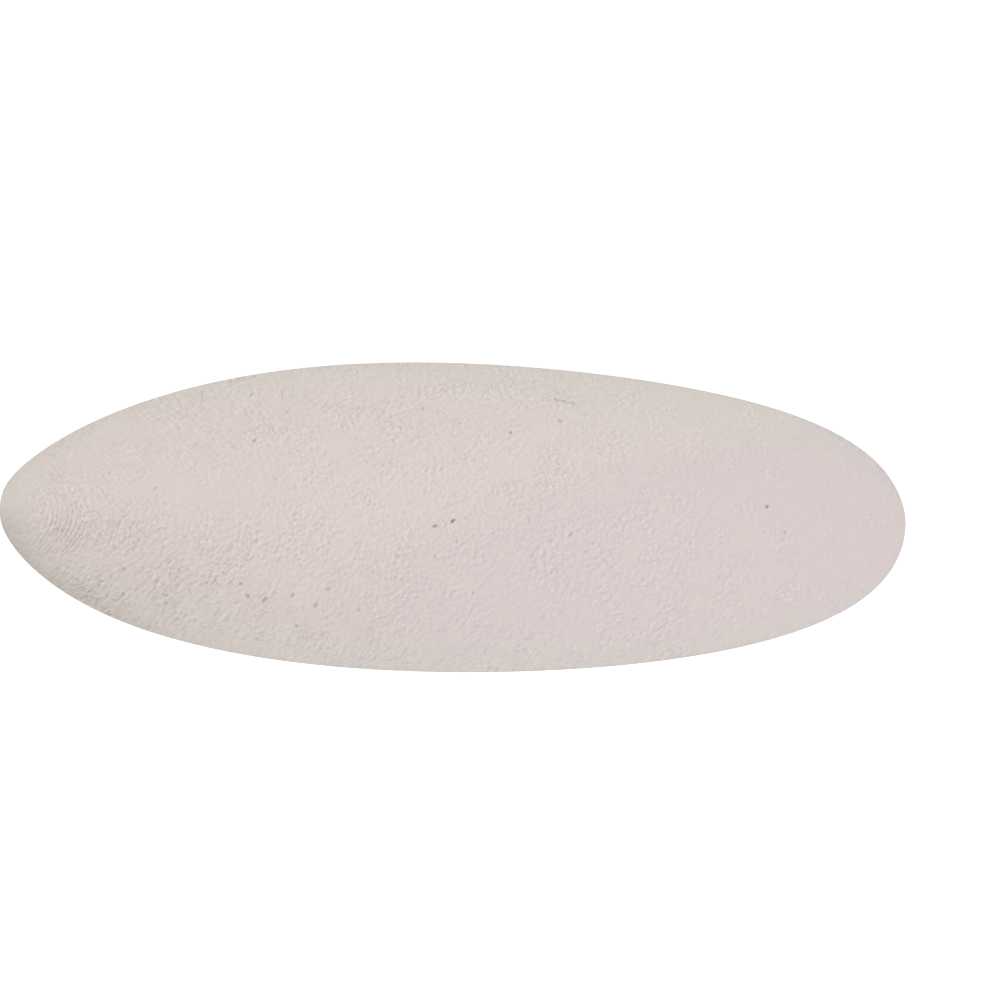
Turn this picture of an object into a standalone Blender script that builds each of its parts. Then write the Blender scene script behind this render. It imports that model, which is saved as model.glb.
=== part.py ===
# Cuttlebone: the chalky internal shell of a cuttlefish, one grown piece.
# It lies on its belly with the dorsal shield up. +X is the anterior end, +Z is up.

import math
import random

import bmesh
import bpy
from mathutils import Matrix, Vector, noise

# Driving dimensions, in metres
LENGTH = 0.150
HALF = LENGTH / 2
LEFT_BREADTH = 0.02539
RIGHT_BREADTH = 0.02549
SHIELD_HEIGHT = 0.0090
SHIELD_FULLNESS = 0.62
BELLY_DEPTH = 0.0104
RIM = 0.0026
MARGIN_HEIGHT = 0.0099
ANTERIOR_DROOP = 0.0036
POSTERIOR_DROOP = 0.0062

# How each flank's half breadth departs from an ellipse, as a cubic along the length
LEFT_TAPER = (-0.0456, 0.0232, 0.1698)
RIGHT_TAPER = (-0.0091, 0.1009, 0.0690)

# How much fuller each flank is at its posterior and its anterior tip, and how far in that reaches
LEFT_TIPS = (0.270, -0.110, 0.02)
RIGHT_TIPS = (-0.161, 0.104, 0.10)

# Mesh rings along the length, and sectors around it
TIP_RINGS = 6
RIDGE_RINGS = 15
BODY_RINGS = 46
TIP_CLOSENESS = 2.0
BODY_CLOSENESS = 1.55
SECTORS = 64

# Growth ridges near the posterior tip, strongest just right of the long axis
RIDGE_START = -0.0668
RIDGE_PITCH = 0.00085
RIDGE_RELIEF = 0.00017
RIDGE_END = RIDGE_START + RIDGE_PITCH * (RIDGE_RINGS - 1) / 2
RIDGE_MIDDLE = -0.0015
RIDGE_SPREAD = 0.0056

# Growth lines are hyperbolas, convex towards the anterior: radius at the axis and slope of the limbs
OLD_ARC = (0.0095, 1.7)
YOUNG_ARC = (0.040, 1.0)
OLD_END = -0.055
YOUNG_START = -0.010
HALVINGS = 22

# Dorsal lumps
LUMP_SPAN = 0.0085
LUMP_RELIEF = 0.00022

# Belly: where it is deepest, as a share of the length from the posterior tip, and its fullness
DEEPEST = 0.51
POSTERIOR_FULLNESS = 2.1
ANTERIOR_FULLNESS = 2.3
BELLY_FLATNESS = 2.7

# Belly relief: striated zone, its median groove, and the step up to the last chamber
STRIAE_START = 0.12
CHAMBER_EDGE = 0.52
CHAMBER_BOW = 0.10
CHAMBER_STEP = 0.00025
GROOVE_DEPTH = 0.0006
GROOVE_SPREAD = 0.16
GROOVE_END = 0.44
STRIA_LEDGES = 13
STRIA_RELIEF = 0.00011

# Inner cone: a low U-shaped ridge at the posterior end, and the shallow cup behind it
CONE_SETBACK = 0.0075
CONE_REACH = 0.036
CONE_RELIEF = 0.0006
CONE_WIDTH = 0.0020
CUP_DEPTH = 0.0006

# Pits in the shield: the ones that stand out, as places in the plan, and a scatter of small ones
LARGE_PITS = (
    (-0.0029, -0.0016), (0.0001, -0.0006), (0.0005, -0.0037), (0.0025, -0.0044),
    (-0.0344, -0.0110), (-0.0334, -0.0132), (-0.0309, -0.0135), (-0.0301, -0.0117),
    (-0.0395, -0.0106), (-0.0487, -0.0098), (-0.0257, -0.0183), (-0.0469, -0.0188),
    (0.0521, 0.0019), (0.0096, 0.0140), (-0.0331, 0.0127), (-0.0073, 0.0141),
)
SCATTERED_PITS = 30
PIT_SEED = 5
PIT_RADII = (0.00032, 0.00050)
LARGE_PIT_RADIUS = 0.00058
PIT_LIP = 0.0002
PIT_DEPTH_SHARE = 0.62

BONE_COLOUR = (0.68, 0.61, 0.578, 1.0)


def clear_scene():
    for leftover in list(bpy.data.objects):
        bpy.data.objects.remove(leftover, do_unlink=True)


def smooth_window(value, start, end):
    """Rise from 0 at start to 1 at end, with flat ends."""
    share = min(max((value - start) / (end - start), 0.0), 1.0)
    return share * share * (3 - 2 * share)


def half_breadth(x, side):
    """Distance from the long axis to the margin at x, on the left (+1) or right (-1) flank."""
    c = min(max(x / HALF, -1.0), 1.0)
    if side > 0:
        breadth, taper, tips = LEFT_BREADTH, LEFT_TAPER, LEFT_TIPS
    else:
        breadth, taper, tips = RIGHT_BREADTH, RIGHT_TAPER, RIGHT_TIPS
    share = 1 + taper[0] * c + taper[1] * c ** 2 + taper[2] * c ** 3
    share += tips[0] * math.exp(-(1 + c) / tips[2]) + tips[1] * math.exp(-(1 - c) / tips[2])
    return breadth * share * math.sqrt(1 - c * c)


def margin_height(x):
    """Height of the thin margin, which droops towards both tips."""
    droop = ANTERIOR_DROOP if x > 0 else POSTERIOR_DROOP
    return MARGIN_HEIGHT - droop * (x / HALF) ** 2


def ring_place(index):
    """Place of a ring on the long axis: close rings on the growth ridges and at the tips."""
    ridge_last = TIP_RINGS + RIDGE_RINGS - 1
    if index < TIP_RINGS:
        return -HALF + (RIDGE_START + HALF) * (index / TIP_RINGS) ** TIP_CLOSENESS
    if index <= ridge_last:
        return RIDGE_START + RIDGE_PITCH / 2 * (index - TIP_RINGS)
    left = 1 - (index - ridge_last) / BODY_RINGS
    return HALF - (HALF - RIDGE_END) * left ** BODY_CLOSENESS


def arc_sag(place, y):
    """How far a growth line that crosses the axis at place has swept back at y."""
    young = smooth_window(place, OLD_END, YOUNG_START)
    radius = OLD_ARC[0] + (YOUNG_ARC[0] - OLD_ARC[0]) * young
    slope = OLD_ARC[1] + (YOUNG_ARC[1] - OLD_ARC[1]) * young
    return slope * (math.hypot(radius, y) - radius)


def growth_line_x(place, across):
    """Where a growth line meets a given share of the breadth, found by halving the gap."""
    side = 1 if across > 0 else -1
    low, high = -HALF, place
    for _ in range(HALVINGS):
        middle = (low + high) / 2
        if middle + arc_sag(place, across * half_breadth(middle, side)) > place:
            high = middle
        else:
            low = middle
    return (low + high) / 2


def shield_rise(x, y, across, ring):
    """Height of the dorsal shield above the margin."""
    c = x / HALF
    crest = SHIELD_HEIGHT * (1 - c * c) ** SHIELD_FULLNESS
    rise = RIM * min(1.0, crest / RIM) * math.sqrt(1 - across ** 2)
    rise += max(crest - RIM, 0.0) * (1 - across ** 2)
    inside = 1 - across ** 4
    if TIP_RINGS <= ring < TIP_RINGS + RIDGE_RINGS:
        crest_or_trough = 1 if (ring - TIP_RINGS) % 2 else -1
        strength = math.exp(-((y - RIDGE_MIDDLE) / RIDGE_SPREAD) ** 2)
        rise += RIDGE_RELIEF * crest_or_trough * strength * inside
    lumps = noise.noise(Vector((x / LUMP_SPAN, y / LUMP_SPAN, 0.3)))
    return rise + LUMP_RELIEF * lumps * inside * (1 - c * c)


def belly_drop(x, across):
    """Depth of the ventral side below the margin."""
    along = (x + HALF) / LENGTH
    if along < DEEPEST:
        depth = BELLY_DEPTH * (1 - ((DEEPEST - along) / DEEPEST) ** POSTERIOR_FULLNESS)
    else:
        depth = BELLY_DEPTH * (1 - ((along - DEEPEST) / (1 - DEEPEST)) ** ANTERIOR_FULLNESS)
    drop = RIM * min(1.0, depth / RIM) * math.sqrt(1 - across ** 2)
    drop += max(depth - RIM, 0.0) * (1 - abs(across) ** BELLY_FLATNESS)
    return drop + striated_relief(along, across) + cone_relief(x, across)


def striated_relief(along, across):
    """Groove and ledges of the striated zone, and the step up to the last chamber."""
    grown = along + CHAMBER_BOW * across ** 2
    inside = 1 - across ** 4
    zone = smooth_window(grown, STRIAE_START, STRIAE_START + 0.08)
    zone *= 1 - smooth_window(grown, CHAMBER_EDGE - 0.01, CHAMBER_EDGE + 0.01)
    groove = GROOVE_DEPTH * math.exp(-(across / GROOVE_SPREAD) ** 2)
    groove *= 1 - smooth_window(grown, GROOVE_END - 0.12, GROOVE_END)
    ledge = STRIA_RELIEF * math.sin(2 * math.pi * STRIA_LEDGES * grown)
    return zone * inside * (ledge - groove - CHAMBER_STEP)


def cone_relief(x, across):
    """Ridge of the inner cone, and the cup between it and the posterior margin."""
    ridge_x = -HALF + CONE_SETBACK + CONE_REACH * across ** 2
    side = 1 if across > 0 else -1
    breadth = max(half_breadth(x, side), CONE_WIDTH)
    lean = 2 * CONE_REACH * across / breadth
    away = (x - ridge_x) / math.sqrt(1 + lean * lean)
    inside = max(1 - across ** 2, 0.0)
    ridge = CONE_RELIEF * math.exp(-(away / CONE_WIDTH) ** 2)
    cup = CUP_DEPTH * smooth_window(-away, 0.0, 2 * CONE_WIDTH) * smooth_window(x, -HALF, ridge_x)
    return inside * (ridge - cup) if x < ridge_x + 4 * CONE_WIDTH else 0.0


def shape_vertex(vertex):
    """Carry one vertex of the unit sphere, poles on X, to its place on the shell."""
    turn = math.acos(min(max(-vertex.co.x, -1.0), 1.0))
    ring = round(turn / math.pi * (TIP_RINGS + RIDGE_RINGS - 1 + BODY_RINGS))
    around = math.atan2(vertex.co.z, vertex.co.y)
    across = math.cos(around)
    place = ring_place(ring)
    side = 1 if across > 0 else -1
    if abs(place) > HALF - 1e-6:
        vertex.co = (place, 0.0, margin_height(place))
        return
    if around >= 0:
        x = growth_line_x(place, across)
        y = across * half_breadth(x, side)
        rise = shield_rise(x, y, across, ring)
    else:
        x = place - (place - growth_line_x(place, side)) * across ** 6
        y = across * half_breadth(x, side)
        rise = -belly_drop(x, across)
    vertex.co = (x, y, margin_height(x) + rise)


def nearest_shield_face(faces, place):
    """The quad of the shield whose centre lies nearest to a place in the plan."""
    target = Vector(place)
    return min(faces, key=lambda face: (face.calc_center_median().xy - target).length)


def sink_pit(shell, face, radius):
    """Sink a small round pit into the middle of one quad of the shield."""
    bmesh.ops.inset_individual(shell, faces=[face], thickness=PIT_LIP, depth=0.0)
    for edge in list(face.edges):
        bmesh.utils.edge_split(edge, edge.verts[0], 0.5)
    centre = face.calc_center_median()
    out = face.normal.copy()
    first = face.verts[0].co - centre
    start = (first - out * first.dot(out)).normalized()
    for step, vertex in enumerate(face.verts):
        turn = Matrix.Rotation(2 * math.pi * step / len(face.verts), 3, out)
        vertex.co = centre + turn @ start * radius
    bmesh.ops.inset_individual(shell, faces=[face], thickness=radius * 0.4, depth=-radius * PIT_DEPTH_SHARE)


def press_pits(shell):
    """Choose quads of the shield for the pits, and sink them."""
    room = 2.2 * (LARGE_PIT_RADIUS + PIT_LIP)
    faces = []
    for face in shell.faces:
        broad = min(edge.calc_length() for edge in face.edges) > room
        if len(face.verts) == 4 and face.normal.z > 0.75 and broad:
            faces.append(face)
    chosen = {}
    for place in LARGE_PITS:
        chosen[nearest_shield_face(faces, place)] = LARGE_PIT_RADIUS
    draw = random.Random(PIT_SEED)
    while len(chosen) < len(LARGE_PITS) + SCATTERED_PITS:
        place = (draw.triangular(-0.9, 0.8, -0.35) * HALF, draw.triangular(-0.7, 0.7, -0.3) * LEFT_BREADTH)
        chosen.setdefault(nearest_shield_face(faces, place), draw.uniform(*PIT_RADII))
    for face, radius in chosen.items():
        sink_pit(shell, face, radius)


def wear_belly_flat(shell):
    """Cut the lowest part of the belly off flat, where the shell rests."""
    everything = shell.verts[:] + shell.edges[:] + shell.faces[:]
    cut = bmesh.ops.bisect_plane(
        shell, geom=everything, dist=1e-6, plane_co=(0, 0, 0), plane_no=(0, 0, 1), clear_inner=True)
    rim = [item for item in cut["geom_cut"] if isinstance(item, bmesh.types.BMEdge)]
    bmesh.ops.holes_fill(shell, edges=rim, sides=len(rim))


def make_bone_material():
    bone = bpy.data.materials.new("chalky_bone")
    bone.use_nodes = True
    shader = bone.node_tree.nodes["Principled BSDF"]
    shader.inputs["Base Color"].default_value = BONE_COLOUR
    shader.inputs["Roughness"].default_value = 0.86
    shader.inputs["Metallic"].default_value = 0.0
    bone.diffuse_color = BONE_COLOUR
    return bone


def make_cuttlebone():
    shell = bmesh.new()
    rings = TIP_RINGS + RIDGE_RINGS - 1 + BODY_RINGS
    bmesh.ops.create_uvsphere(shell, u_segments=SECTORS, v_segments=rings, radius=1.0)
    bmesh.ops.rotate(shell, verts=shell.verts, cent=(0, 0, 0), matrix=Matrix.Rotation(math.pi / 2, 3, "Y"))
    for vertex in shell.verts:
        shape_vertex(vertex)
    shell.normal_update()
    press_pits(shell)
    wear_belly_flat(shell)
    bmesh.ops.recalc_face_normals(shell, faces=shell.faces)
    middle = (max(v.co.y for v in shell.verts) + min(v.co.y for v in shell.verts)) / 2
    bmesh.ops.translate(shell, verts=shell.verts, vec=(0, -middle, 0))
    mesh = bpy.data.meshes.new("cuttlebone")
    shell.to_mesh(mesh)
    shell.free()
    mesh.shade_smooth()
    mesh.set_sharp_from_angle(angle=math.radians(35))
    mesh.materials.append(make_bone_material())
    cuttlebone = bpy.data.objects.new("cuttlebone", mesh)
    bpy.context.scene.collection.objects.link(cuttlebone)
    return cuttlebone


clear_scene()
make_cuttlebone()
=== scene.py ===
import math

import bmesh
import bpy
import numpy as np
from mathutils import Matrix, Vector


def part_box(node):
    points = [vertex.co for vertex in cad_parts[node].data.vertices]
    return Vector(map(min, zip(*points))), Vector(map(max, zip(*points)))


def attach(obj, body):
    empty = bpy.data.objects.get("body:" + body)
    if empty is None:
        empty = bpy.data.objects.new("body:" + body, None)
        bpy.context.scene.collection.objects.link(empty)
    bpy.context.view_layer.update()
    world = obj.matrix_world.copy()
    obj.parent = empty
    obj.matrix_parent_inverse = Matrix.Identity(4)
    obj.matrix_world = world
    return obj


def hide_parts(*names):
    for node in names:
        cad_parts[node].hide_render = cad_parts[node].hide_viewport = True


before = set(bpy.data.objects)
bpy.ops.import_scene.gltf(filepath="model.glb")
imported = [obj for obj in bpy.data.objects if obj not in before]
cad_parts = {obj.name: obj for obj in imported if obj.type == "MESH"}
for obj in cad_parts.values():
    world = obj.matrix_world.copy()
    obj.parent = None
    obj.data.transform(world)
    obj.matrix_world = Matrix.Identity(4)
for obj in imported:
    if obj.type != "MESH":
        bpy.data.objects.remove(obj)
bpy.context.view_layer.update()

# Size and outline, in metres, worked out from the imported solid's box where it gives them
SOLID_LOW, SOLID_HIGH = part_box("cuttlebone")
LENGTH = SOLID_HIGH[0] - SOLID_LOW[0]
HALF = LENGTH / 2
LEFT_BREADTH = 0.02539
RIGHT_BREADTH = 0.02549
LEFT_TAPER = (-0.0456, 0.0232, 0.1698)
RIGHT_TAPER = (-0.0091, 0.1009, 0.0690)
LEFT_TIPS = (0.270, -0.110, 0.02)
RIGHT_TIPS = (-0.161, 0.104, 0.10)
SHIELD_HEIGHT = 0.0090
SHIELD_FULLNESS = 0.62
BELLY_DEPTH = 0.0104
RIM = 0.0026
MARGIN_HEIGHT = 0.0099
ANTERIOR_DROOP = 0.0036
POSTERIOR_DROOP = 0.0062

# Fine mesh: rings along the length, sectors across the shield and under the belly
RINGS = 424
SHIELD_SECTORS = 160
BELLY_SECTORS = 76
RING_GAPS = (0.60, 1.35)
RING_WIDENING = (0.15, 0.95)
TIP_STRETCH = 0.09
TIP_CLOSEST = 0.12
SECTOR_MIX = (0.7, 0.3)
EDGE_POWER = 6
POLE_GAP = 1e-7

# Noise over the plan: cells in its table, gain, and step and fade from one layer to the next
NOISE_CELLS = 256
NOISE_GAIN = 1.5
LAYER_STEP = 2.03
LAYER_FADE = 0.55
GRAIN_SHIFT = (0.15, 0.85)
GRAIN_SIZES = (0.35, 0.75)

# Growth lines: radius at the axis and slope of the limbs, old at the posterior and young at the front
OLD_ARC = (0.0095, 1.7)
YOUNG_ARC = (0.040, 1.0)
OLD_END = -0.055
YOUNG_START = -0.010
ARC_HALVINGS = 22
ARC_ROUNDS = 6

# Growth ridges near the posterior tip; each noise is two spans in metres and a seed
RIDGE_START = -0.0670
RIDGE_PITCH = 0.00085
RIDGE_COUNT = 10
RIDGE_RELIEF = 0.00010
RIDGE_MIDDLE = -0.0032
RIDGE_SPREAD = 0.0044
RIDGE_RISE = (-0.5, 1.0)
RIDGE_WANDER = 0.18
RIDGE_NOISE = (0.004, 0.004, 31)
RIDGE_CALM = 0.8

# Shield relief: broad lumps, granules and fine growth lines
LUMP_RELIEF = 0.00020
LUMP_NOISE = (0.0085, 0.0085, 3)
GRANULE_PITCH = 0.00105
GRANULE_RELIEF = 0.00016
GRANULE_LEVEL = 0.4
GRANULE_SEED = 41
LINE_RELIEF = 0.00009
LINE_NOISE = (0.0011, 0.0036, 51)

# Belly: depth, striated zone with its median groove, last chamber and inner cone
DEEPEST = 0.51
POSTERIOR_FULLNESS = 2.1
ANTERIOR_FULLNESS = 2.3
BELLY_FLATNESS = 2.7
STRIAE_START = 0.12
STRIAE_RISE = 0.08
CHAMBER_EDGE = 0.52
CHAMBER_SOFTNESS = 0.01
CHAMBER_BOW = 0.10
CHAMBER_STEP = 0.00025
GROOVE_DEPTH = 0.0006
GROOVE_SPREAD = 0.16
GROOVE_END = 0.44
GROOVE_FADE = 0.12
STRIA_PITCH = 0.0015
STRIA_RELIEF = 0.00015
STRIA_OVERTONE = 0.35
STRIA_WOBBLE = 0.35
STRIA_NOISE = (0.009, 0.006, 71)
STRIA_SHARE = 0.45
CONE_SETBACK = 0.0075
CONE_REACH = 0.036
CONE_RELIEF = 0.0006
CONE_WIDTH = 0.0020
CUP_DEPTH = 0.0006
BELLY_COARSENESS = 0.35

# Roughness of the shield: middle and spread of its rough patches and of the worn one
ROUGH_PATCHES = (
    ((-0.049, -0.011), (0.024, 0.010)),
    ((-0.061, -0.003), (0.011, 0.007)),
)
WORN_PATCH = ((-0.041, 0.0045), (0.017, 0.0042))
ROUGH_NOISE = (0.016, 0.011, 21)
ROUGH_PATCHINESS = 0.35
ROUGH_BASE = 0.60
ROUGH_POSTERIOR = 0.40
ROUGH_POSTERIOR_MOST = 1.15
ROUGH_ANTERIOR_LOSS = 0.36
ROUGH_ANTERIOR_LEAN = 0.4
ROUGH_ANTERIOR = (0.018, 0.062)
ROUGH_RANGE = (0.16, 1.4)
SMOOTH_TIP = (-0.0705, -0.0665)
SMOOTH_TIP_LOSS = 0.65
WORN_LOSS = 0.5

# Dirt and painted shade on the right flank, and where the painted light and shade of the streak marks
# lie: strength, then where they rise across and fade along
DIRT_AND_SHADE_FLANK = (1.0, (-0.35, 0.95), (-0.074, 0.028))
DIRT_AND_SHADE_TIP = (0.48, (-0.5, 0.7), (-0.073, -0.066))
DIRT_AND_SHADE_EDGE = (0.45, (0.70, 1.0), (-0.068, -0.035))
DIRT_AND_SHADE_LEVEL = 0.42
DIRT_AND_SHADE_PATCHINESS = 0.14
DIRT_AND_SHADE_NOISE = (0.010, 0.006, 91)
STREAKS = (1.0, (-0.3, 0.3), (-0.071, -0.066))
LEAST_BREADTH = 0.004

# Greyish green margin: where its band starts across, and how that changes along each flank
BAND_START = 0.76
BAND_WIDENING = 0.32
BAND_LEFT_RISE = (0.0, 0.035)
BAND_LEFT_FALL = (0.045, 0.065)
BAND_LEFT_LOSS = 0.7
BAND_RIGHT_FALL = (-0.045, -0.015)
BAND_LEFT_BEHIND = 0.5
GREEN_TIP = (-0.074, -0.064)
GREEN_TIP_LEVEL = 0.45
GREEN_TIP_GAIN = 0.45
GREEN_TIP_ACROSS = (-0.3, 0.5)

# Pits that stand out on the shield: place in the plan and radius in millimetres, and darkness, which
# sets both their depth and the painted shade inside them
DARK_PITS = (
    (0.3, -0.5, 0.34, 1.00), (51.6, 2.6, 0.32, 0.95), (-2.6, -1.4, 0.34, 0.85),
    (9.4, 14.1, 0.30, 0.65), (-33.1, -13.4, 0.32, 0.60), (-34.3, -11.3, 0.32, 0.58),
    (-25.1, -18.1, 0.30, 0.50), (-30.3, -13.8, 0.50, 0.48), (-25.8, -13.1, 0.42, 0.40),
    (-14.9, -15.3, 0.32, 0.46), (-22.1, -14.6, 0.44, 0.42), (-53.9, -13.4, 0.30, 0.42),
    (-20.0, -11.9, 0.42, 0.40), (-32.5, 12.1, 0.30, 0.42), (-33.2, 19.7, 0.28, 0.42),
    (-38.5, -10.9, 0.30, 0.42), (17.4, 16.2, 0.28, 0.40), (-27.2, 16.9, 0.28, 0.38),
    (-2.6, -6.3, 0.28, 0.38), (0.8, -3.8, 0.30, 0.38), (30.1, -16.3, 0.28, 0.36),
)
PIT_DEPTH = 0.00024
PIT_STRETCH = (1.0, 1.5)
PIT_TURNS = (math.radians(15), math.radians(75))
PIT_STEEPNESS = 1.6
PIT_LIP_HEIGHT = 0.12
PIT_LIP_PLACE = 1.5
PIT_LIP_WIDTH = 0.5
PIT_FADE = (1.6, 2.4)
PIT_PARTING = (0.3, 1.0)
NO_PIT = (1.0, 1.0, 0.0003)

# Scratches, in millimetres: middle in the plan and half length, then turn in degrees and darkness,
# which sets their depth and the painted shade inside them
SCRATCHES = (
    (-41.4, 19.2, 1.25, -87, 0.26), (-28.1, 19.8, 0.90, -88, 0.26),
    (18.4, 19.3, 1.95, -11, 0.34), (13.7, -5.4, 1.50, 60, 0.20),
    (-57.9, -0.3, 0.55, -50, 0.18), (-57.7, -1.3, 0.60, -44, 0.18),
)
SCRATCH_BREADTH = 0.00022

# Small pits scattered over the rougher parts, within shares of the half length and half breadth
SCATTERED_PITS = 60
SCATTER_ALONG = (-0.92, 0.88)
SCATTER_ACROSS = (-0.86, 0.86)
SCATTER_ROUGHEST = 1.3
SCATTER_RADII = (0.00022, 0.00032)
SCATTER_DARKNESS = (0.12, 0.36)
SCATTER_SEED = 11
PIT_REACH = 4.0
MILLIMETRE = 0.001

# Colours and tints of the bone
WARM_BONE_COLOUR = (0.663, 0.588, 0.549, 1.0)
PINK_BONE_COLOUR = (0.636, 0.562, 0.548, 1.0)
GREEN_TINT = (0.957, 0.997, 0.988, 1.0)
# Dirt and painted shade on the right flank's posterior half
DIRT_AND_SHADE_COLOUR = (0.525, 0.453, 0.412, 1.0)
PINK_SPAN = (-0.020, 0.020)
PINK_BORDER = (-0.026, 0.0368, 0.008)
BONE_ROUGHNESS = 0.88
BONE_SPECULAR = 0.25

# Fine patterns: sizes in metres or cells to the metre, and the ramps that shape them
SLANT = math.radians(38)
STROKE_LENGTH = 0.00105
STROKE_BREADTH = 0.00062
STROKE_SHIFT = 0.00044
STROKE_NOISE = (1.0, 1.3, 0.6)
GRAIN_CELLS = (1850.0, 1450.0, 1.0)
GRAIN_SMOOTHNESS = 0.12
PORE_CELLS = 1100.0
PORE_RAMP = (0.10, 0.34, 1.0, 0.0)
PORE_CHOICE = (0.72, 0.98)
GRANULE_CELLS = (1500.0, 1250.0, 1.0)
GRANULE_RAMP = (0.06, 0.46, 1.0, 0.0)
GRANULE_CLUSTERING = 4.0
GRANULE_CHOICE = (2.80, 3.15)
GRANULE_SHADE = (-0.46, 0.38, 0.0)
CLUSTER_CELLS = 210.0
CLUSTER_RAMP = (0.34, 0.68, 0.62, 1.42)
WANDER_NOISE = (760.0, 3.0, 0.6)
WANDER_TURNS = 5.5
BREAK_NOISE = (900.0, 1.0)
BREAK_RAMP = (0.30, 0.50)
PIT_RAGGEDNESS = 0.8
PIT_RAMP = (0.40, 1.10, 1.0, 0.0)
PINK_CELLS = 420.0
PINK_RAMP = (0.70, 1.90)
GREEN_CELLS = 300.0
GREEN_RAMP = (0.50, 0.92)

# Shares of the patterns in the height of the bump, in the tints and in the painted light and shade of
# the colour
# Painted light and shade of the strokes: each one's lit flank less its shaded flank
STROKE_LIGHT_SHARES = {"slanting_light_and_shade": 0.95, "swept_light_and_shade": 0.8}
STROKE_SHARES = {"slanting": 1.0, "swept": 0.7}
GRAIN_SHARES = {"strokes": 1.0, "grains": -0.3, "pores": -0.4, "granules": 0.6}
PATCHY_SHARES = {"ridged": -0.6, "coarse": 0.35, "clusters": 0.5}
PATCHY_BASE = 0.4
PATCHY_LEAST = 0.12
HEIGHT_SHARES = {"grain": 1.25, "ridges": 0.32, "pits": -0.5}
BUMP_HEIGHT = 0.00019
PINK_SHARES = {"pink": 1.0, "rim": -0.4, "pink_patches": 1.6}
GREEN_SHARES = {"rim": 0.8, "green_patches": 1.0}
# Painted light and shade of the grain: lit and shaded stroke flanks, painted shade in the pores,
# painted highlights on the granules
GRAIN_LIGHT_SHARES = {"flanks": 1.05, "pores": -0.20, "granules": 0.26}
# Painted light and shade in the colour: grain, streak marks, ridge crests and troughs, granule
# highlights and shadows, and painted shade in the pits
PAINTED_LIGHT_SHARES = {
    "grain_light_and_shade": 0.315, "streak_light_and_shade": 0.22, "ridges": 0.105,
    "granules": 0.11, "pits": -0.50, "shadows": -0.06,
}

# Camera and studio
CAMERA_LENS = 180.0
CAMERA_SENSOR = 36.0
PHOTO_WIDTH = 0.16480
CAMERA_ROLL = math.radians(0.82)
CAMERA_AIM = (0.0079, 0.0030, 0.0085)
CAMERA_REACH = 20.0
FLOOR_COLOUR = (0.96, 0.96, 0.96, 1.0)
FLOOR_GLOW = 0.36
FLOOR_ROUGHNESS = 0.95
FLOOR_HALF = 3.0
FLOOR_DROP = 0.00005
BACKDROP_COLOUR = (1.0, 1.0, 1.0, 1.0)
BACKDROP_STRENGTH = 0.534

# Softboxes: name, place, diameter in metres and power in watts
SOFTBOXES = (
    ("overhead_softbox", (0.0, 0.0, 1.6), 0.6, 8.0),
    ("key_softbox", (0.14, -0.08, 1.1), 0.25, 3.0),
)


def smooth_window(value, start, end):
    """Rise from 0 at start to 1 at end, with flat ends."""
    share = np.clip((value - start) / (end - start), 0.0, 1.0)
    return share * share * (3 - 2 * share)


def gradient_noise(u, v, seed):
    """Smooth noise from -1 to 1 over a plane, with one cell to each unit."""
    turns = np.random.default_rng(seed).uniform(0, 2 * math.pi, (NOISE_CELLS, NOISE_CELLS))
    column, row = np.floor(u).astype(int), np.floor(v).astype(int)
    across, up = u - column, v - row
    ease_across = across * across * across * (across * (across * 6 - 15) + 10)
    ease_up = up * up * up * (up * (up * 6 - 15) + 10)
    corners = []
    for step_up in (0, 1):
        for step_across in (0, 1):
            turn = turns[(column + step_across) % NOISE_CELLS, (row + step_up) % NOISE_CELLS]
            corners.append(np.cos(turn) * (across - step_across) + np.sin(turn) * (up - step_up))
    low = corners[0] + (corners[1] - corners[0]) * ease_across
    high = corners[2] + (corners[3] - corners[2]) * ease_across
    return NOISE_GAIN * (low + (high - low) * ease_up)


def layered_noise(u, v, noise, layers=3):
    """Several layers of the smooth noise, each finer and weaker, by its two spans and its seed."""
    span_u, span_v, seed = noise
    u, v = u / span_u, v / span_v
    total, size = 0.0, 1.0
    for layer in range(layers):
        step = LAYER_STEP ** layer
        total = total + size * gradient_noise(u * step, v * step, seed + layer)
        size *= LAYER_FADE
    return total


def grain_bumps(u, v, seed):
    """Rounded grains from 0 to 1, one to each cell of the plane, jittered in place and size."""
    draw = np.random.default_rng(seed)
    shift_u, shift_v = draw.uniform(*GRAIN_SHIFT, (2, NOISE_CELLS, NOISE_CELLS))
    size = draw.uniform(*GRAIN_SIZES, (NOISE_CELLS, NOISE_CELLS))
    column, row = np.floor(u).astype(int), np.floor(v).astype(int)
    height = np.zeros_like(u)
    for step_row in (-1, 0, 1):
        for step_column in (-1, 0, 1):
            near_column, near_row = column + step_column, row + step_row
            cell = (near_column % NOISE_CELLS, near_row % NOISE_CELLS)
            away = np.hypot(u - near_column - shift_u[cell], v - near_row - shift_v[cell])
            grain = size[cell] * np.clip(1 - (away / size[cell]) ** 2, 0, None) / GRAIN_SIZES[1]
            height = np.maximum(height, grain)
    return height


def half_breadth(x, side):
    """Distance from the long axis to the margin at x, on the left (+1) or right (-1) flank."""
    c = np.clip(x / HALF, -1.0, 1.0)
    left = (LEFT_BREADTH, LEFT_TAPER, LEFT_TIPS)
    right = (RIGHT_BREADTH, RIGHT_TAPER, RIGHT_TIPS)
    flanks = []
    for breadth, taper, tips in (left, right):
        share = 1 + taper[0] * c + taper[1] * c ** 2 + taper[2] * c ** 3
        share = share + tips[0] * np.exp(-(1 + c) / tips[2]) + tips[1] * np.exp(-(1 - c) / tips[2])
        flanks.append(breadth * share)
    return np.sqrt(1 - c * c) * np.where(side > 0, flanks[0], flanks[1])


def margin_height(x):
    """Height of the thin margin, which droops towards both tips."""
    droop = np.where(x > 0, ANTERIOR_DROOP, POSTERIOR_DROOP)
    return MARGIN_HEIGHT - droop * (x / HALF) ** 2


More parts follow.
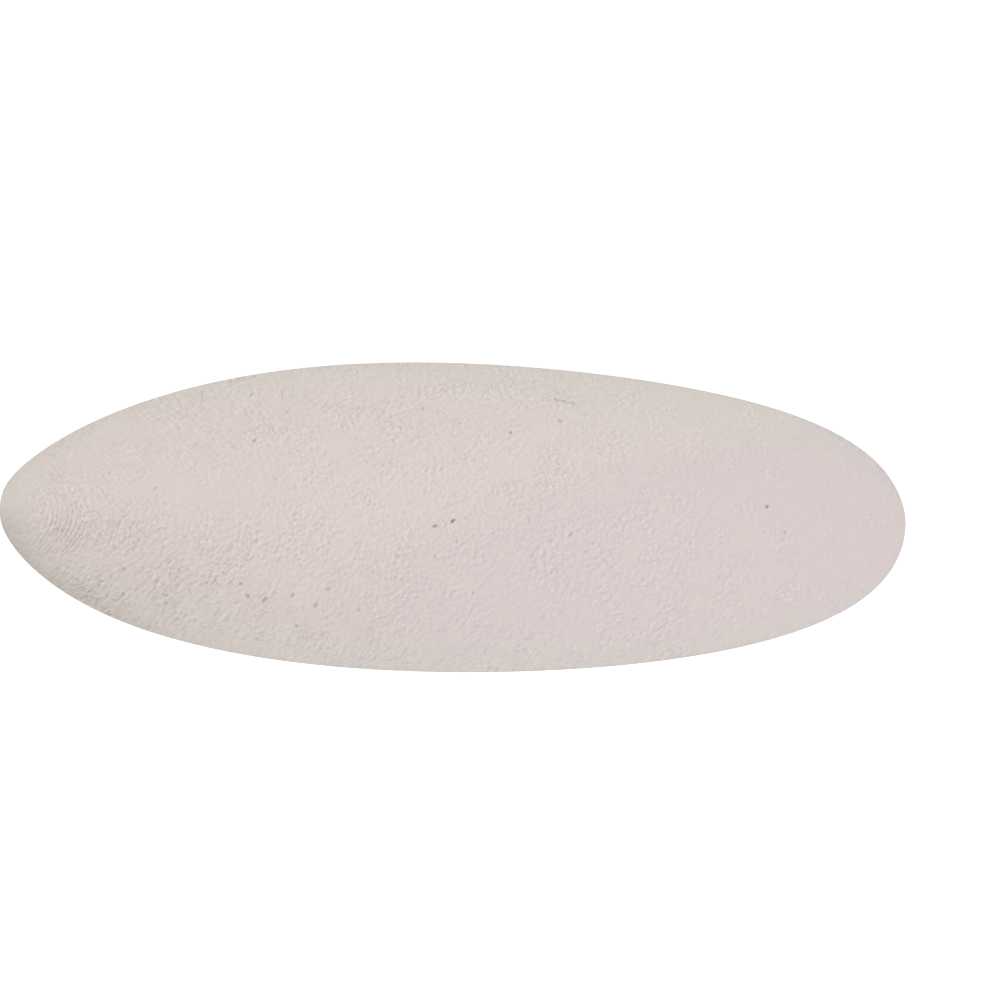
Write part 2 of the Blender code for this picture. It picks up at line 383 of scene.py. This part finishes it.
def arc_sag(place, y):
    """How far a growth line that crosses the axis at place has swept back at y."""
    young = smooth_window(place, OLD_END, YOUNG_START)
    radius = OLD_ARC[0] + (YOUNG_ARC[0] - OLD_ARC[0]) * young
    slope = OLD_ARC[1] + (YOUNG_ARC[1] - OLD_ARC[1]) * young
    return slope * (np.hypot(radius, y) - radius)


def growth_line_x(place, across):
    """Where a growth line meets a given share of the breadth, found by halving the gap."""
    side = np.where(across > 0, 1, -1)
    low, high = np.full_like(place, -HALF), place.copy()
    for _ in range(ARC_HALVINGS):
        middle = (low + high) / 2
        beyond = middle + arc_sag(place, across * half_breadth(middle, side)) > place
        high = np.where(beyond, middle, high)
        low = np.where(beyond, low, middle)
    return (low + high) / 2


def ring_places():
    """Place of each ring on the axis: fine at the rough posterior, wider at the smooth anterior."""
    share = np.linspace(0, 1, RINGS)
    gap = RING_GAPS[0] + (RING_GAPS[1] - RING_GAPS[0]) * smooth_window(share, *RING_WIDENING)
    tip = np.minimum(share, 1 - share) / TIP_STRETCH
    gap = gap * np.clip(tip, TIP_CLOSEST, 1.0)
    places = np.concatenate(([0.0], np.cumsum(gap)))
    return -HALF + LENGTH * places / places[-1]


def shield_crest(x):
    """Height of the shield above the margin on the long axis."""
    return SHIELD_HEIGHT * np.clip(1 - (x / HALF) ** 2, 0, None) ** SHIELD_FULLNESS


def shield_rise(x, across):
    """Height of the dorsal shield above the margin, before its relief."""
    crest = shield_crest(x)
    rise = RIM * np.minimum(1.0, crest / RIM) * np.sqrt(1 - across ** 2)
    return rise + np.clip(crest - RIM, 0, None) * (1 - across ** 2)


def belly_drop(x, across):
    """Depth of the ventral side below the margin, before its relief."""
    along = (x + HALF) / LENGTH
    behind = np.clip((DEEPEST - along) / DEEPEST, 0, None) ** POSTERIOR_FULLNESS
    ahead = np.clip((along - DEEPEST) / (1 - DEEPEST), 0, None) ** ANTERIOR_FULLNESS
    depth = BELLY_DEPTH * (1 - behind - ahead)
    drop = RIM * np.minimum(1.0, depth / RIM) * np.sqrt(1 - across ** 2)
    drop = drop + np.clip(depth - RIM, 0, None) * (1 - np.abs(across) ** BELLY_FLATNESS)
    return drop + cone_relief(x, across)


def cone_relief(x, across):
    """Ridge of the inner cone, and the cup between it and the posterior margin."""
    ridge_x = -HALF + CONE_SETBACK + CONE_REACH * across ** 2
    breadth = np.maximum(half_breadth(x, across), CONE_WIDTH)
    lean = 2 * CONE_REACH * across / breadth
    away = (x - ridge_x) / np.sqrt(1 + lean * lean)
    inside = np.clip(1 - across ** 2, 0, None)
    ahead_of_tip = smooth_window(x, -HALF, -HALF + 2 * CONE_WIDTH)
    ridge = CONE_RELIEF * np.exp(-(away / CONE_WIDTH) ** 2) * ahead_of_tip
    cup = CUP_DEPTH * smooth_window(-away, 0.0, 2 * CONE_WIDTH) * smooth_window(x, -HALF, ridge_x)
    return inside * (ridge - cup)


def striated_zone(x, across):
    """Growth coordinate of the belly from 0 to 1, and 1 in its striated zone."""
    grown = (x + HALF) / LENGTH + CHAMBER_BOW * across ** 2
    zone = smooth_window(grown, STRIAE_START, STRIAE_START + STRIAE_RISE)
    chamber = smooth_window(grown, CHAMBER_EDGE - CHAMBER_SOFTNESS, CHAMBER_EDGE + CHAMBER_SOFTNESS)
    return grown, zone * (1 - chamber)


def striated_relief(x, y, across):
    """Groove and ledges of the striated zone, and the step up to the last chamber."""
    grown, zone = striated_zone(x, across)
    inside = 1 - across ** 4
    groove = GROOVE_DEPTH * np.exp(-(across / GROOVE_SPREAD) ** 2)
    groove = groove * (1 - smooth_window(grown, GROOVE_END - GROOVE_FADE, GROOVE_END))
    wobble = STRIA_WOBBLE * layered_noise(x, y, STRIA_NOISE)
    phase = 2 * math.pi * (grown * LENGTH / STRIA_PITCH + wobble)
    ledge = STRIA_RELIEF * (np.sin(phase) + STRIA_OVERTONE * np.sin(2 * phase))
    return zone * inside * (ledge - groove - CHAMBER_STEP)


def growth_coordinate(x, y):
    """Where the growth line through a point crosses the axis."""
    place = x.copy()
    for _ in range(ARC_ROUNDS):
        place = x + arc_sag(place, y)
    return place


def soft_patch(x, y, patch):
    """1 in the middle of a patch, fading around it by its spread along and across."""
    middle, spread = patch
    return np.exp(-((x - middle[0]) / spread[0]) ** 2 - ((y - middle[1]) / spread[1]) ** 2)


def grain_strength(x, y):
    """How rough the shield is: most on the right flank's posterior half, least at the anterior end."""
    patchy = 1 + ROUGH_PATCHINESS * layered_noise(x, y, ROUGH_NOISE, 2)
    posterior = soft_patch(x, y, ROUGH_PATCHES[0]) + soft_patch(x, y, ROUGH_PATCHES[1])
    anterior = smooth_window(x + ROUGH_ANTERIOR_LEAN * y, *ROUGH_ANTERIOR)
    tip = 1 - smooth_window(x, *SMOOTH_TIP)
    strength = ROUGH_BASE + ROUGH_POSTERIOR * np.minimum(posterior, ROUGH_POSTERIOR_MOST)
    strength = np.clip((strength - ROUGH_ANTERIOR_LOSS * anterior) * patchy, *ROUGH_RANGE)
    return strength * (1 - SMOOTH_TIP_LOSS * tip) * (1 - WORN_LOSS * soft_patch(x, y, WORN_PATCH))


def right_flank_share(x, across, patch):
    """A patch of the right flank that rises across and fades along, by its strength and windows."""
    strength, rise, fade = patch
    return strength * smooth_window(-across, *rise) * (1 - smooth_window(x, *fade))


def dirt_and_shade_share(x, y):
    """How much the shield is darkened by dirt and painted shade: most on the right flank's posterior
    half.
    """
    across = y / np.maximum(half_breadth(x, y), LEAST_BREADTH)
    level = DIRT_AND_SHADE_LEVEL + DIRT_AND_SHADE_PATCHINESS * layered_noise(x, y, DIRT_AND_SHADE_NOISE)
    share = right_flank_share(x, across, DIRT_AND_SHADE_FLANK) * level
    for patch in (DIRT_AND_SHADE_TIP, DIRT_AND_SHADE_EDGE):
        share = share + right_flank_share(x, across, patch)
    return np.clip(share, 0, 1)


def rim_share(x, across):
    """How greyish green the margin is: widest at the posterior tip and ahead on the left flank."""
    left = smooth_window(x, *BAND_LEFT_RISE) * (1 - BAND_LEFT_LOSS * smooth_window(x, *BAND_LEFT_FALL))
    right = 1 - smooth_window(x, *BAND_RIGHT_FALL)
    start = BAND_START - BAND_WIDENING * np.where(across > 0, left, right)
    band = smooth_window(np.abs(across), start, 1.0)
    band = band * np.where((across > 0) & (x < 0), BAND_LEFT_BEHIND, 1.0)
    level = GREEN_TIP_LEVEL + GREEN_TIP_GAIN * smooth_window(-across, *GREEN_TIP_ACROSS)
    return np.maximum(band, (1 - smooth_window(x, *GREEN_TIP)) * level)


def pink_share(x, y):
    """How pinkish the shield is: past a border that bends back towards the posterior on the right."""
    start, slope, bend = PINK_BORDER
    border = start + slope * np.logaddexp(0, y / bend)
    return smooth_window(x - border, *PINK_SPAN)


def every_pit():
    """Pits and scratches in metres: place, radius, darkness, turn and how drawn out each one is."""
    draw = np.random.default_rng(SCATTER_SEED)
    pits = []
    for x, y, radius, darkness in DARK_PITS:
        turn, drawn_out = draw.uniform(*PIT_TURNS), draw.uniform(*PIT_STRETCH)
        shape = (radius * MILLIMETRE, darkness, turn, drawn_out)
        pits.append((x * MILLIMETRE, y * MILLIMETRE) + shape)
    for x, y, half_length, turn, darkness in SCRATCHES:
        drawn_out = half_length * MILLIMETRE / SCRATCH_BREADTH
        shape = (SCRATCH_BREADTH, darkness, math.radians(turn), drawn_out)
        pits.append((x * MILLIMETRE, y * MILLIMETRE) + shape)
    wanted = len(pits) + SCATTERED_PITS
    while len(pits) < wanted:
        x = draw.uniform(*SCATTER_ALONG) * HALF
        y = draw.uniform(*SCATTER_ACROSS) * float(half_breadth(np.array(x), 1))
        if draw.uniform(0, SCATTER_ROUGHEST) < float(grain_strength(np.array([x]), np.array([y]))[0]):
            shape = (draw.uniform(*SCATTER_RADII), draw.uniform(*SCATTER_DARKNESS))
            pits.append((x, y) + shape + (draw.uniform(*PIT_TURNS), draw.uniform(*PIT_STRETCH)))
    return pits


def pit_relief(x, y):
    """Relief of the pits, how dark the painted shade in the nearest one is, and its middle line and
    radius.
    """
    relief, dark = np.zeros_like(x), np.zeros_like(x)
    closest, second = np.full_like(x, PIT_REACH), np.full_like(x, PIT_REACH)
    nearest = np.tile(NO_PIT, (len(x), 1))
    for pit_x, pit_y, radius, darkness, turn, drawn_out in every_pit():
        reach = radius * (PIT_REACH + drawn_out)
        near = np.flatnonzero((np.abs(x - pit_x) < reach) & (np.abs(y - pit_y) < reach))
        along = (x[near] - pit_x) * math.cos(turn) + (y[near] - pit_y) * math.sin(turn)
        held = np.clip(along, -radius * (drawn_out - 1), radius * (drawn_out - 1))
        middle_x, middle_y = pit_x + held * math.cos(turn), pit_y + held * math.sin(turn)
        away = np.hypot(x[near] - middle_x, y[near] - middle_y) / radius
        lip = PIT_LIP_HEIGHT * np.exp(-((away - PIT_LIP_PLACE) / PIT_LIP_WIDTH) ** 2)
        relief[near] += PIT_DEPTH * darkness * (lip - np.exp(-(away ** 2) * PIT_STEEPNESS))
        closer = away < closest[near]
        second[near] = np.where(closer, closest[near], np.minimum(second[near], away))
        chosen = near[closer]
        closest[chosen] = away[closer]
        dark[chosen] = darkness
        nearest[chosen] = np.stack([middle_x, middle_y, np.full_like(away, radius)], axis=1)[closer]
    dark *= (1 - smooth_window(closest, *PIT_FADE)) * smooth_window(second - closest, *PIT_PARTING)
    return relief, dark, nearest


def shield_relief(x, y, across, pits):
    """Everything that stands on or sinks into the shield, with what the finish needs."""
    inside = 1 - np.abs(across) ** EDGE_POWER
    grown = growth_coordinate(x, y)
    rough = grain_strength(x, y)
    lumps = LUMP_RELIEF * layered_noise(x, y, LUMP_NOISE, 2)
    wander = RIDGE_WANDER * layered_noise(x, y, RIDGE_NOISE, 2)
    phase = (grown - RIDGE_START) / RIDGE_PITCH + wander
    zone = smooth_window(phase, *RIDGE_RISE)
    zone = zone * (1 - smooth_window(phase, RIDGE_COUNT - 1, RIDGE_COUNT + 1))
    ridged = zone * np.exp(-((y - RIDGE_MIDDLE) / RIDGE_SPREAD) ** 2)
    ridges = RIDGE_RELIEF * ridged * np.cos(2 * math.pi * phase)
    bumps = grain_bumps(grown / GRANULE_PITCH, y / GRANULE_PITCH, GRANULE_SEED)
    grains = GRANULE_RELIEF * rough * (bumps - GRANULE_LEVEL)
    lines = LINE_RELIEF * rough * layered_noise(grown, y, LINE_NOISE)
    calm = 1 - RIDGE_CALM * ridged
    relief = inside * (lumps + ridges + (grains + lines) * calm + pits)
    return relief, grown, {"coarse": rough, "ridged": ridged}


def add_point_attribute(mesh, name, values):
    """One number for each point of the mesh."""
    layer = mesh.attributes.new(name=name, type="FLOAT", domain="POINT")
    layer.data.foreach_set("value", np.asarray(values, dtype=np.float32))


def add_point_vectors(mesh, name, vectors):
    """One vector for each point of the mesh."""
    layer = mesh.attributes.new(name=name, type="FLOAT_VECTOR", domain="POINT")
    layer.data.foreach_set("vector", np.asarray(vectors, dtype=np.float32).ravel())


def unit_shell():
    """A closed ball with its poles on X, from which the shell is drawn out."""
    ball = bmesh.new()
    sectors = SHIELD_SECTORS + BELLY_SECTORS
    bmesh.ops.create_uvsphere(ball, u_segments=sectors, v_segments=RINGS, radius=1.0)
    lying = Matrix.Rotation(math.pi / 2, 3, "Y")
    bmesh.ops.rotate(ball, verts=ball.verts, cent=(0, 0, 0), matrix=lying)
    bmesh.ops.recalc_face_normals(ball, faces=ball.faces)
    mesh = bpy.data.meshes.new("cuttlebone_surface")
    ball.to_mesh(mesh)
    ball.free()
    return mesh


def ring_and_share(points):
    """Each point's ring place, its share of the breadth, and whether it is on the shield."""
    sectors = SHIELD_SECTORS + BELLY_SECTORS
    turn = np.arccos(np.clip(-points[:, 0], -1.0, 1.0))
    ring = np.rint(turn / math.pi * RINGS).astype(int)
    around = np.arctan2(points[:, 2], points[:, 1])
    sector = np.rint(around / (2 * math.pi) * sectors).astype(int) % sectors
    dorsal = sector <= SHIELD_SECTORS
    share = np.where(dorsal, sector / SHIELD_SECTORS, (sectors - sector) / BELLY_SECTORS)
    across = SECTOR_MIX[0] * (1 - 2 * share) + SECTOR_MIX[1] * np.cos(math.pi * share)
    return ring_places()[ring], np.clip(across, -1.0, 1.0), dorsal


def make_cuttlebone_surface():
    """The whole shell: shape first, then its relief along the normals, then its attributes."""
    mesh = unit_shell()
    points = np.zeros(len(mesh.vertices) * 3)
    mesh.vertices.foreach_get("co", points)
    points = points.reshape(-1, 3)
    place, across, dorsal = ring_and_share(points)
    side = np.where(across > 0, 1, -1)
    shield_x = growth_line_x(place, across)
    edge_x = growth_line_x(place, side.astype(float))
    x = np.where(dorsal, shield_x, place - (place - edge_x) * across ** EDGE_POWER)
    pole = np.abs(place) > HALF - POLE_GAP
    x[pole] = place[pole]
    y = across * half_breadth(x, side)
    y[pole] = 0.0
    rise = np.where(dorsal, shield_rise(x, across), -belly_drop(x, across))
    rise[pole] = 0.0
    middle = (y.max() + y.min()) / 2
    z = margin_height(x) + rise
    mesh.vertices.foreach_set("co", np.stack([x, y - middle, z], axis=1).ravel())
    mesh.update()
    normals = np.zeros(len(mesh.vertices) * 3)
    mesh.vertex_normals.foreach_get("vector", normals)
    normals = normals.reshape(-1, 3)
    pits, dark, nearest = pit_relief(x, y - middle)
    top, grown, finish = shield_relief(x, y, across, pits)
    finish["pitted"] = dark
    under = striated_relief(x, y, across)
    relief = np.where(dorsal, top, under)
    relief[pole] = 0.0
    moved = np.stack([x, y - middle, z], axis=1) + normals * relief[:, None]
    moved[:, 2] = np.maximum(moved[:, 2], 0.0)
    mesh.vertices.foreach_set("co", moved.ravel())
    striated = STRIA_SHARE * striated_zone(x, across)[1]
    belly = {"coarse": BELLY_COARSENESS, "ridged": striated, "pitted": 0.0}
    for name, values in finish.items():
        add_point_attribute(mesh, name, np.where(dorsal, values, belly[name]))
    # Dirt and painted shade on the right flank
    add_point_attribute(mesh, "dirt_and_shade", dirt_and_shade_share(x, y))
    add_point_attribute(mesh, "rim", rim_share(x, across))
    # Where the streak marks' painted light and shade lie
    streaked = right_flank_share(x, across, STREAKS)
    add_point_attribute(mesh, "streaked", np.where(dorsal, streaked, 0.0))
    add_point_attribute(mesh, "pink", pink_share(x, y))
    grown = np.where(dorsal, grown, x + CHAMBER_BOW * LENGTH * across ** 2)
    add_point_vectors(mesh, "growth", np.stack([grown, y, np.zeros_like(y)], axis=1))
    add_point_vectors(mesh, "nearest_pit", nearest)
    mesh.update()
    mesh.shade_smooth()
    surface = bpy.data.objects.new("cuttlebone_surface", mesh)
    bpy.context.scene.collection.objects.link(surface)
    return surface


def add_node(tree, kind, settings=None, inputs=None):
    """One shader node with its settings and the values of its sockets."""
    node = tree.nodes.new(kind)
    for name, value in (settings or {}).items():
        setattr(node, name, value)
    for name, value in (inputs or {}).items():
        node.inputs[name].default_value = value
    return node


def mix_colour(tree, share, first, second, blend="MIX"):
    """Blend two colours, each a socket or a plain value, by a share that is a socket or a number."""
    node = add_node(tree, "ShaderNodeMix", {"data_type": "RGBA", "blend_type": blend})
    for socket, value in ((node.inputs[0], share), (node.inputs[6], first), (node.inputs[7], second)):
        if isinstance(value, bpy.types.NodeSocket):
            tree.links.new(value, socket)
        else:
            socket.default_value = value
    return node.outputs[2]


def math_node(tree, operation, first, second=None):
    """One sum with sockets or numbers."""
    node = add_node(tree, "ShaderNodeMath", {"operation": operation})
    for socket, value in zip(node.inputs, (first, second)):
        if value is None:
            continue
        if isinstance(value, bpy.types.NodeSocket):
            tree.links.new(value, socket)
        else:
            socket.default_value = value
    return node.outputs[0]


def product(tree, first, second):
    """Two sockets or numbers, multiplied."""
    return math_node(tree, "MULTIPLY", first, second)


def weighted_sum(tree, sockets, shares):
    """Add the named sockets, each times its own share."""
    total = None
    for name, share in shares.items():
        part = sockets[name] if share == 1.0 else product(tree, sockets[name], share)
        total = part if total is None else math_node(tree, "ADD", total, part)
    return total


def noise_value(tree, vector, scale, detail=2.0, roughness=0.55):
    """Soft noise, mostly between 0.3 and 0.7."""
    inputs = {"Scale": scale, "Detail": detail, "Roughness": roughness}
    node = add_node(tree, "ShaderNodeTexNoise", None, inputs)
    tree.links.new(vector, node.inputs["Vector"])
    return node.outputs["Fac"]


def cell_distance(tree, vector):
    """Distance to the nearest of a scatter of points, one to each cell."""
    inputs = {"Scale": 1.0, "Smoothness": GRAIN_SMOOTHNESS}
    node = add_node(tree, "ShaderNodeTexVoronoi", {"feature": "SMOOTH_F1"}, inputs)
    tree.links.new(vector, node.inputs["Vector"])
    return node.outputs["Distance"]


def dots_in_cells(tree, vector, scale, ramp):
    """A round dot in each cell of a scatter, and a random number for each cell."""
    node = add_node(tree, "ShaderNodeTexVoronoi", {"feature": "F1"}, {"Scale": scale})
    tree.links.new(vector, node.inputs["Vector"])
    dots = ramp_value(tree, node.outputs["Distance"], *ramp)
    parts = add_node(tree, "ShaderNodeSeparateColor")
    tree.links.new(node.outputs["Color"], parts.inputs["Color"])
    return dots, parts.outputs["Red"]


def pore_depth(tree, vector):
    """Small round pores in some of the cells: 1 in a pore and 0 outside."""
    dots, number = dots_in_cells(tree, vector, PORE_CELLS, PORE_RAMP)
    return product(tree, dots, ramp_value(tree, number, *PORE_CHOICE))


def fine_strokes(tree, vector, turn):
    """Short strokes that lie at a turn: their height, and their painted light and shade around 0, a
    lit flank less a shaded one.
    """
    flanks = []
    for shift in (0.0, STROKE_SHIFT):
        node = add_node(tree, "ShaderNodeMapping", {"vector_type": "TEXTURE"})
        node.inputs["Location"].default_value = (shift * math.sin(turn), -shift * math.cos(turn), 0.0)
        node.inputs["Rotation"].default_value = (0.0, 0.0, turn)
        node.inputs["Scale"].default_value = (STROKE_LENGTH, STROKE_BREADTH, STROKE_BREADTH)
        tree.links.new(vector, node.inputs["Vector"])
        flanks.append(noise_value(tree, node.outputs["Vector"], *STROKE_NOISE))
    return flanks[0], math_node(tree, "SUBTRACT", flanks[0], flanks[1])


def pit_spots(tree, place, strokes):
    """1 in the middle of a pit or scratch and 0 past its ragged edge."""
    flat = []
    nearest = attribute(tree, "nearest_pit").outputs["Vector"]
    for vector in (place, nearest):
        flat.append(stretched(tree, vector, (1.0, 1.0, 0.0)))
    apart = add_node(tree, "ShaderNodeVectorMath", {"operation": "DISTANCE"})
    tree.links.new(flat[0], apart.inputs[0])
    tree.links.new(flat[1], apart.inputs[1])
    parts = add_node(tree, "ShaderNodeSeparateXYZ")
    tree.links.new(nearest, parts.inputs["Vector"])
    away = math_node(tree, "DIVIDE", apart.outputs["Value"], parts.outputs["Z"])
    away = math_node(tree, "ADD", away, product(tree, strokes, PIT_RAGGEDNESS))
    return ramp_value(tree, away, *PIT_RAMP)


def raised_granules(tree, growth, clusters, aside=(0.0, 0.0, 0.0)):
    """Separate round granules in clusters along the growth lines, or the same ones moved aside."""
    cells = stretched(tree, growth, GRANULE_CELLS, aside)
    dots, number = dots_in_cells(tree, cells, 1.0, GRANULE_RAMP)
    number = math_node(tree, "ADD", number, product(tree, clusters, GRANULE_CLUSTERING))
    return product(tree, dots, ramp_value(tree, number, *GRANULE_CHOICE))


def ramp_value(tree, value, start, end, low=0.0, high=1.0):
    """A smooth ramp from low at start to high at end."""
    node = add_node(tree, "ShaderNodeMapRange", {"clamp": True, "interpolation_type": "SMOOTHSTEP"})
    node.inputs["From Min"].default_value = start
    node.inputs["From Max"].default_value = end
    node.inputs["To Min"].default_value = low
    node.inputs["To Max"].default_value = high
    tree.links.new(value, node.inputs["Value"])
    return node.outputs["Result"]


def attribute(tree, name):
    """One of the mesh's own point attributes."""
    settings = {"attribute_name": name, "attribute_type": "GEOMETRY"}
    return add_node(tree, "ShaderNodeAttribute", settings)


def stretched(tree, vector, scale, aside=(0.0, 0.0, 0.0)):
    """A place scaled along each axis and then moved aside."""
    node = add_node(tree, "ShaderNodeMapping")
    node.inputs["Location"].default_value = aside
    node.inputs["Scale"].default_value = scale
    tree.links.new(vector, node.inputs["Vector"])
    return node.outputs["Vector"]


def growth_ridges(tree, place, growth, ridged):
    """Short broken ridges that follow the growth lines near the posterior tip, from -1 to 1."""
    grown = add_node(tree, "ShaderNodeSeparateXYZ")
    tree.links.new(growth, grown.inputs["Vector"])
    turns = math_node(tree, "SUBTRACT", grown.outputs["X"], RIDGE_START)
    turns = product(tree, turns, 2 * math.pi / RIDGE_PITCH)
    wander = product(tree, noise_value(tree, place, *WANDER_NOISE), WANDER_TURNS)
    wave = math_node(tree, "SINE", math_node(tree, "ADD", turns, wander))
    broken = ramp_value(tree, noise_value(tree, place, *BREAK_NOISE), *BREAK_RAMP)
    return product(tree, wave, product(tree, ridged, broken))


def surface_patterns(tree):
    """The sockets that the height and the colour are made from, by name."""
    place = add_node(tree, "ShaderNodeTexCoord").outputs["Object"]
    growth = attribute(tree, "growth").outputs["Vector"]
    made = {}
    for name in ("coarse", "ridged", "pitted", "dirt_and_shade", "rim", "streaked", "pink"):
        made[name] = attribute(tree, name).outputs["Fac"]
    # Each stroke pattern also gives a lit flank less a shaded one, painted into the colour as light
    # and shade
    made["slanting"], made["slanting_light_and_shade"] = fine_strokes(tree, place, SLANT)
    made["swept"], made["swept_light_and_shade"] = fine_strokes(tree, growth, math.pi / 2)
    made["grains"] = cell_distance(tree, stretched(tree, growth, GRAIN_CELLS))
    made["pores"] = pore_depth(tree, place)
    made["clusters"] = noise_value(tree, place, CLUSTER_CELLS)
    # Granules lighten the colour as painted highlights; their copy moved aside darkens it as their
    # painted shadow
    made["granules"] = raised_granules(tree, growth, made["clusters"])
    made["shadows"] = raised_granules(tree, growth, made["clusters"], GRANULE_SHADE)
    # Ridges go into the bump and into the colour, as painted light on their crests and painted shade
    # in their troughs
    made["ridges"] = growth_ridges(tree, place, growth, made["ridged"])
    # Streak marks near the posterior tip, drawn only as painted light and shade: a lit flank beside a
    # shaded one
    made["streak_light_and_shade"] = product(tree, fine_strokes(tree, place, 0.0)[1], made["streaked"])
    made["pink_patches"] = noise_value(tree, place, PINK_CELLS)
    made["green_patches"] = noise_value(tree, place, GREEN_CELLS)
    # Painted light and shade of the strokes, also used to make the pit edges ragged
    flanks = weighted_sum(tree, made, STROKE_LIGHT_SHARES)
    # Pits and scratches darken the colour as painted shade inside them
    made["pits"] = product(tree, pit_spots(tree, place, flanks), made["pitted"])
    gathered = ramp_value(tree, made["clusters"], *CLUSTER_RAMP)
    made["flanks"] = product(tree, flanks, gathered)
    made["strokes"] = product(tree, weighted_sum(tree, made, STROKE_SHARES), gathered)
    return made


def bone_height(tree, made):
    """Height of the bump: grain that grows with the roughness, ridges and pits."""
    patchy = math_node(tree, "ADD", weighted_sum(tree, made, PATCHY_SHARES), PATCHY_BASE)
    patchy = math_node(tree, "MAXIMUM", product(tree, patchy, made["coarse"]), PATCHY_LEAST)
    made["grain"] = product(tree, weighted_sum(tree, made, GRAIN_SHARES), patchy)
    return weighted_sum(tree, made, HEIGHT_SHARES)


def bone_colour(tree, made):
    """Warm to pinkish bone, darkened by dirt and painted shade and greenish at the margin, times its
    painted light and shade.
    """
    pinkness = ramp_value(tree, weighted_sum(tree, made, PINK_SHARES), *PINK_RAMP)
    greenness = ramp_value(tree, weighted_sum(tree, made, GREEN_SHARES), *GREEN_RAMP)
    colour = mix_colour(tree, pinkness, WARM_BONE_COLOUR, PINK_BONE_COLOUR)
    # Dirt and painted shade darken the right flank's posterior half
    colour = mix_colour(tree, made["dirt_and_shade"], colour, DIRT_AND_SHADE_COLOUR)
    colour = mix_colour(tree, greenness, colour, GREEN_TINT, "MULTIPLY")
    # Painted light and shade of the grain, stronger where the shield is rough
    made["grain_light_and_shade"] = product(tree, weighted_sum(tree, made, GRAIN_LIGHT_SHARES), made["coarse"])
    # Every term of this sum is painted light and shade
    painted_light_and_shade = math_node(tree, "ADD", weighted_sum(tree, made, PAINTED_LIGHT_SHARES), 1.0)
    shade = add_node(tree, "ShaderNodeVectorMath", {"operation": "SCALE"})
    tree.links.new(colour, shade.inputs[0])
    tree.links.new(painted_light_and_shade, shade.inputs["Scale"])
    return shade.outputs[0]


def make_chalky_bone():
    """Matt chalk: granules set along the growth lines, pits and pores, faint tints, with painted light
    and shade on strokes, granules and ridges and painted shade in pits and pores.
    """
    bone = bpy.data.materials.new("chalky_bone")
    bone.use_nodes = True
    tree = bone.node_tree
    shader = tree.nodes["Principled BSDF"]
    shader.inputs["Roughness"].default_value = BONE_ROUGHNESS
    shader.inputs["Specular IOR Level"].default_value = BONE_SPECULAR
    made = surface_patterns(tree)
    bump = add_node(tree, "ShaderNodeBump", None, {"Strength": 1.0, "Distance": BUMP_HEIGHT})
    tree.links.new(bone_height(tree, made), bump.inputs["Height"])
    tree.links.new(bump.outputs["Normal"], shader.inputs["Normal"])
    tree.links.new(bone_colour(tree, made), shader.inputs["Base Color"])
    return bone


def make_floor():
    """White paper under the bone."""
    pad = bmesh.new()
    bmesh.ops.create_grid(pad, x_segments=1, y_segments=1, size=FLOOR_HALF)
    bmesh.ops.translate(pad, verts=pad.verts, vec=(0, 0, -FLOOR_DROP))
    mesh = bpy.data.meshes.new("floor")
    pad.to_mesh(mesh)
    pad.free()
    paper = bpy.data.materials.new("white_paper")
    paper.use_nodes = True
    shader = paper.node_tree.nodes["Principled BSDF"]
    shader.inputs["Base Color"].default_value = FLOOR_COLOUR
    shader.inputs["Roughness"].default_value = FLOOR_ROUGHNESS
    shader.inputs["Specular IOR Level"].default_value = 0.0
    shader.inputs["Emission Color"].default_value = FLOOR_COLOUR
    shader.inputs["Emission Strength"].default_value = FLOOR_GLOW
    mesh.materials.append(paper)
    floor = bpy.data.objects.new("floor", mesh)
    bpy.context.scene.collection.objects.link(floor)


def add_area_light(name, place, size, power):
    """A round softbox that faces the origin."""
    lamp = bpy.data.lights.new(name, "AREA")
    lamp.shape = "DISK"
    lamp.size = size
    lamp.energy = power
    holder = bpy.data.objects.new(name, lamp)
    bpy.context.scene.collection.objects.link(holder)
    holder.location = place
    holder.rotation_euler = (-Vector(place)).to_track_quat("-Z", "Y").to_euler()


def light_studio():
    """White surroundings and two softboxes."""
    world = bpy.data.worlds.new("studio")
    bpy.context.scene.world = world
    world.use_nodes = True
    backdrop = world.node_tree.nodes["Background"]
    backdrop.inputs["Color"].default_value = BACKDROP_COLOUR
    backdrop.inputs["Strength"].default_value = BACKDROP_STRENGTH
    for name, place, size, power in SOFTBOXES:
        add_area_light(name, place, size, power)


def place_camera():
    """A long lens straight above, turned a little to match the photo."""
    lens = bpy.data.cameras.new("overhead_camera")
    lens.lens = CAMERA_LENS
    lens.sensor_width = CAMERA_SENSOR
    lens.clip_end = CAMERA_REACH
    camera = bpy.data.objects.new("overhead_camera", lens)
    bpy.context.scene.collection.objects.link(camera)
    distance = PHOTO_WIDTH * CAMERA_LENS / CAMERA_SENSOR
    camera.location = (CAMERA_AIM[0], CAMERA_AIM[1], CAMERA_AIM[2] + distance)
    camera.rotation_euler = (0.0, 0.0, CAMERA_ROLL)
    bpy.context.scene.camera = camera


def set_view():
    """Plain colours, without a film look."""
    settings = bpy.context.scene.view_settings
    settings.view_transform = "Standard"
    settings.look = "None"
    settings.exposure = 0.0
    settings.gamma = 1.0


surface = make_cuttlebone_surface()
surface.data.materials.append(make_chalky_bone())
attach(surface, "root")
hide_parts("cuttlebone")
make_floor()
light_studio()
place_camera()
set_view()
